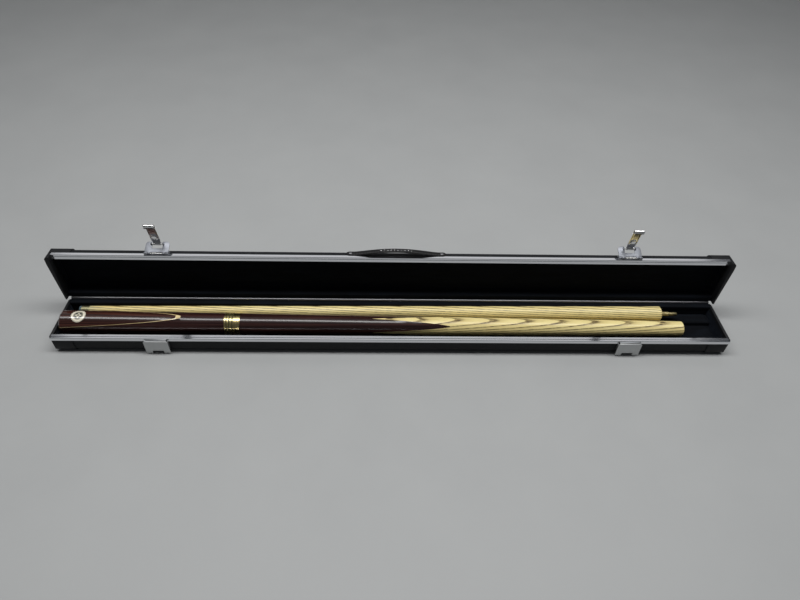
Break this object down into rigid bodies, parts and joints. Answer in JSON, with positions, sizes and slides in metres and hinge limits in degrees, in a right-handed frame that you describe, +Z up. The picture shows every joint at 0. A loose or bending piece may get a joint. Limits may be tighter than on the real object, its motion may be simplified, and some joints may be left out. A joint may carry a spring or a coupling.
{
  "type": "two-piece cue in hard case",
  "caption": "Two-piece wooden cue with spliced butt and brass screw joint, lying unscrewed in its open slim hinged hard case with draw latches and a carrying strap.",
  "frame": {"origin": "middle of the case base's footprint, on the surface that the case stands on", "axes": "+X along the case from the butt end to the joint end, +Y from the latches towards the hinges, +Z up"},
  "size_m": [0.8092, 0.0883, 0.1315],
  "materials": {
    "leatherette": "satin, fine grain",
    "edge_aluminium": "satin, brushed along its length",
    "cap_plastic": "fine matt",
    "plush": "short pile",
    "nickel": "polished",
    "steel": "plated",
    "strap": "satin",
    "dark_butt": "polished lacquer",
    "rosewood": "polished lacquer",
    "badge_rosewood": "polished lacquer",
    "veneer": "polished lacquer",
    "ash": "oiled",
    "badge_cream": "glossy",
    "badge_dark": "glossy",
    "brass": "polished",
    "spacer": "glossy",
    "tip": "chalked",
    "bumper": "matt"
  },
  "bodies": {
    "case_base": {"base_shell": "leatherette", "base_rail_front": "edge_aluminium", "base_rim_rear": "plush", "base_end_cap_left": "cap_plastic", "base_end_cap_right": "cap_plastic", "base_wall_lining": "plush", "floor_pad": "plush", "shaft_ledge": "plush", "catch_plate_left": "nickel", "catch_plate_right": "nickel", "catch_rivets": "steel", "hinge_leaves_base": "steel", "hinge_pins": "steel", "hinge_rivets_base": "steel"},
    "case_lid": {"lid_shell": "leatherette", "lid_rail_front": "edge_aluminium", "lid_rim_rear": "plush", "lid_end_cap_left": "cap_plastic", "lid_end_cap_right": "cap_plastic", "lid_wall_lining": "plush", "lid_pad": "plush", "hinge_leaves_lid": "steel", "hinge_rivets_lid": "steel", "latch_base_left": "nickel", "latch_base_right": "nickel", "latch_rivets": "steel", "flap_pins": "steel", "handle_strap": "strap", "handle_rivets": "steel"},
    "flap_left": {"latch_flap_left": "nickel", "arm_pin_left": "steel"},
    "arm_left": {"latch_arm_left": "nickel"},
    "flap_right": {"latch_flap_right": "nickel", "arm_pin_right": "steel"},
    "arm_right": {"latch_arm_right": "nickel"},
    "cue_butt": {"rear_butt": "dark_butt", "splice_veneer": "veneer", "badge_splice": "badge_rosewood", "badge_rim": "badge_cream", "badge_field": "badge_dark", "butt_bumper": "bumper", "bumper_screw": "steel", "brass_rings": "brass", "ring_spacers": "spacer", "brass_band": "brass", "rosewood_sleeve": "rosewood", "ash_forearm": "ash", "joint_socket": "brass"},
    "cue_shaft": {"shaft_wood": "ash", "ferrule": "brass", "leather_tip": "tip", "joint_pin": "brass"}
  },
  "joints": [
    {"name": "lid_hinge", "type": "hinge", "parent": "case_base", "child": "case_lid", "pos_m": [0, 0.0342, 0.02355], "axis": [1, 0, 0], "range_deg": [0, 92]},
    {"name": "flap_left_lift", "type": "hinge", "parent": "case_lid", "child": "flap_left", "pos_m": [-0.278, 0.03835, 0.09225], "axis": [-1, 0, 0], "range_deg": [-60, 24]},
    {"name": "arm_left_swing", "type": "hinge", "parent": "flap_left", "child": "arm_left", "pos_m": [-0.278, 0.04888, 0.09823], "axis": [1, 0, 0], "range_deg": [-40, 101]},
    {"name": "flap_right_lift", "type": "hinge", "parent": "case_lid", "child": "flap_right", "pos_m": [0.278, 0.03835, 0.09225], "axis": [-1, 0, 0], "range_deg": [-60, 24]},
    {"name": "arm_right_swing", "type": "hinge", "parent": "flap_right", "child": "arm_right", "pos_m": [0.278, 0.04888, 0.09823], "axis": [1, 0, 0], "range_deg": [-40, 101]},
    {"name": "butt_lift", "type": "slide", "parent": "case_base", "child": "cue_butt", "axis": [0, 0, -1], "range_m": [-0.09, 0]},
    {"name": "shaft_lift", "type": "slide", "parent": "case_base", "child": "cue_shaft", "axis": [0, 0, -1], "range_m": [-0.09, 0]}
  ]
}
